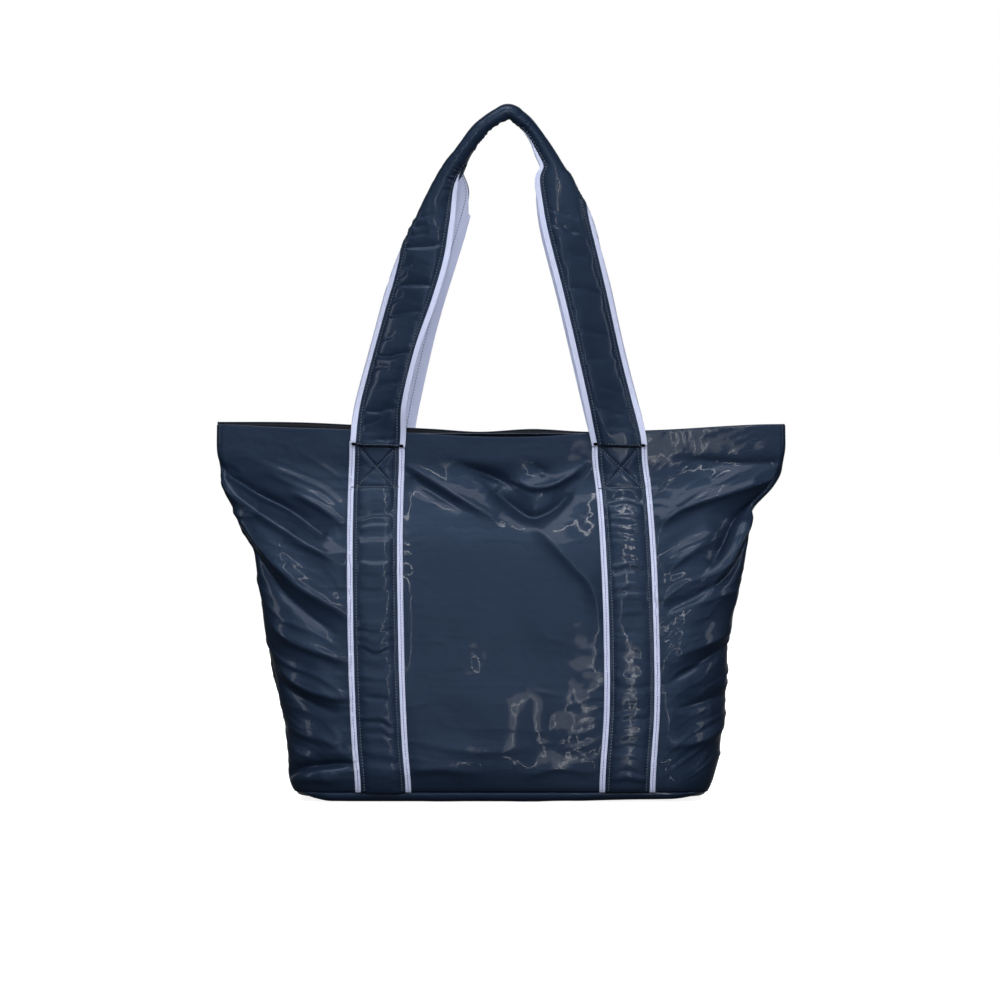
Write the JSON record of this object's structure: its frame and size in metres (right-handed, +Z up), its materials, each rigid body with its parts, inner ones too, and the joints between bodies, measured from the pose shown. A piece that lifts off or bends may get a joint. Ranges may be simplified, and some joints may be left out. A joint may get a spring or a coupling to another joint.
{
  "type": "foldable tote bag",
  "caption": "Light foldable tote: zipped mouth, wide boxed base, webbing straps running up the panels into handle loops with rolled grips, and a stow pouch inside.",
  "frame": {"origin": "centre of the sole, on the surface the bag stands on", "axes": "+Z up towards the handles, the front of the bag faces -Y, +X to its right as seen from the front"},
  "size_m": [0.512, 0.1388, 0.6333],
  "materials": {
    "navy_nylon": "glossy satin ripstop-weight nylon",
    "navy_lining": "coated back of the nylon, dull",
    "navy_binding": "grosgrain tape, dull",
    "lilac_webbing": "ribbed woven nylon webbing, soft sheen",
    "navy_strip": "glossy satin nylon strip, quilted a little by its stitching",
    "zip_tape": "knitted zip tape",
    "zip_coil": "nylon coil",
    "zip_metal": "dark lacquered zinc"
  },
  "bodies": {
    "bag": {"base_panel": "navy_nylon", "front_panel": "navy_nylon", "back_panel": "navy_nylon", "front_top_facing": "navy_lining", "back_top_facing": "navy_lining", "left_seam_binding": "navy_binding", "right_seam_binding": "navy_binding", "base_seam_binding": "navy_binding", "front_left_webbing": "lilac_webbing", "front_left_strip": "navy_strip", "front_right_webbing": "lilac_webbing", "front_right_strip": "navy_strip", "back_left_webbing": "lilac_webbing", "back_left_strip": "navy_strip", "back_right_webbing": "lilac_webbing", "back_right_strip": "navy_strip", "left_zip_end_tape": "zip_tape", "left_zip_end_coil": "zip_coil", "right_zip_end_tape": "zip_tape", "right_zip_end_coil": "zip_coil", "pouch_body": "navy_nylon", "pouch_zip_tape": "zip_tape", "pouch_zip_coil": "zip_coil"},
    "front_handle": {"front_handle_grip": "navy_strip", "front_handle_left_webbing": "lilac_webbing", "front_handle_left_strip": "navy_strip", "front_handle_right_webbing": "lilac_webbing", "front_handle_right_strip": "navy_strip"},
    "back_handle": {"back_handle_grip": "navy_strip", "back_handle_left_webbing": "lilac_webbing", "back_handle_left_strip": "navy_strip", "back_handle_right_webbing": "lilac_webbing", "back_handle_right_strip": "navy_strip"},
    "front_tape_flap": {"front_zip_tape": "zip_tape", "front_zip_coil": "zip_coil"},
    "back_tape_flap": {"back_zip_tape": "zip_tape", "back_zip_coil": "zip_coil"},
    "slider": {"zip_slider": "zip_metal"},
    "puller": {"zip_puller": "zip_metal"},
    "pouch_slider": {"pouch_zip_slider": "zip_metal"},
    "pouch_puller": {"pouch_zip_puller": "zip_metal"}
  },
  "joints": [
    {"name": "front_handle_swing", "type": "hinge", "parent": "bag", "child": "front_handle", "pos_m": [0, -0.0183, 0.322], "axis": [1, 0, 0], "range_deg": [0, 150]},
    {"name": "back_handle_swing", "type": "hinge", "parent": "bag", "child": "back_handle", "pos_m": [0, 0.0183, 0.322], "axis": [-1, 0, 0], "range_deg": [0, 150]},
    {"name": "front_tape_fold", "type": "hinge", "parent": "bag", "child": "front_tape_flap", "pos_m": [0, -0.0129, 0.331], "axis": [1, 0, 0], "range_deg": [0, 85]},
    {"name": "back_tape_fold", "type": "hinge", "parent": "bag", "child": "back_tape_flap", "pos_m": [0, 0.0129, 0.331], "axis": [-1, 0, 0], "range_deg": [0, 85]},
    {"name": "zip_slide", "type": "slide", "parent": "bag", "child": "slider", "axis": [-1, 0, 0], "range_m": [0, 0.446]},
    {"name": "puller_swing", "type": "hinge", "parent": "slider", "child": "puller", "pos_m": [0.223, 0, 0.3344], "axis": [0, -1, 0], "range_deg": [0, 180]},
    {"name": "pouch_zip_slide", "type": "slide", "parent": "bag", "child": "pouch_slider", "axis": [-1, 0, 0], "range_m": [0, 0.14]},
    {"name": "pouch_puller_swing", "type": "hinge", "parent": "pouch_slider", "child": "pouch_puller", "pos_m": [0.07, 0.0054, 0.298], "axis": [0, 0, -1], "range_deg": [0, 180]}
  ],
  "couplings": [
    {"joint": "back_tape_fold", "follows": "front_tape_fold", "ratio": 1}
  ]
}
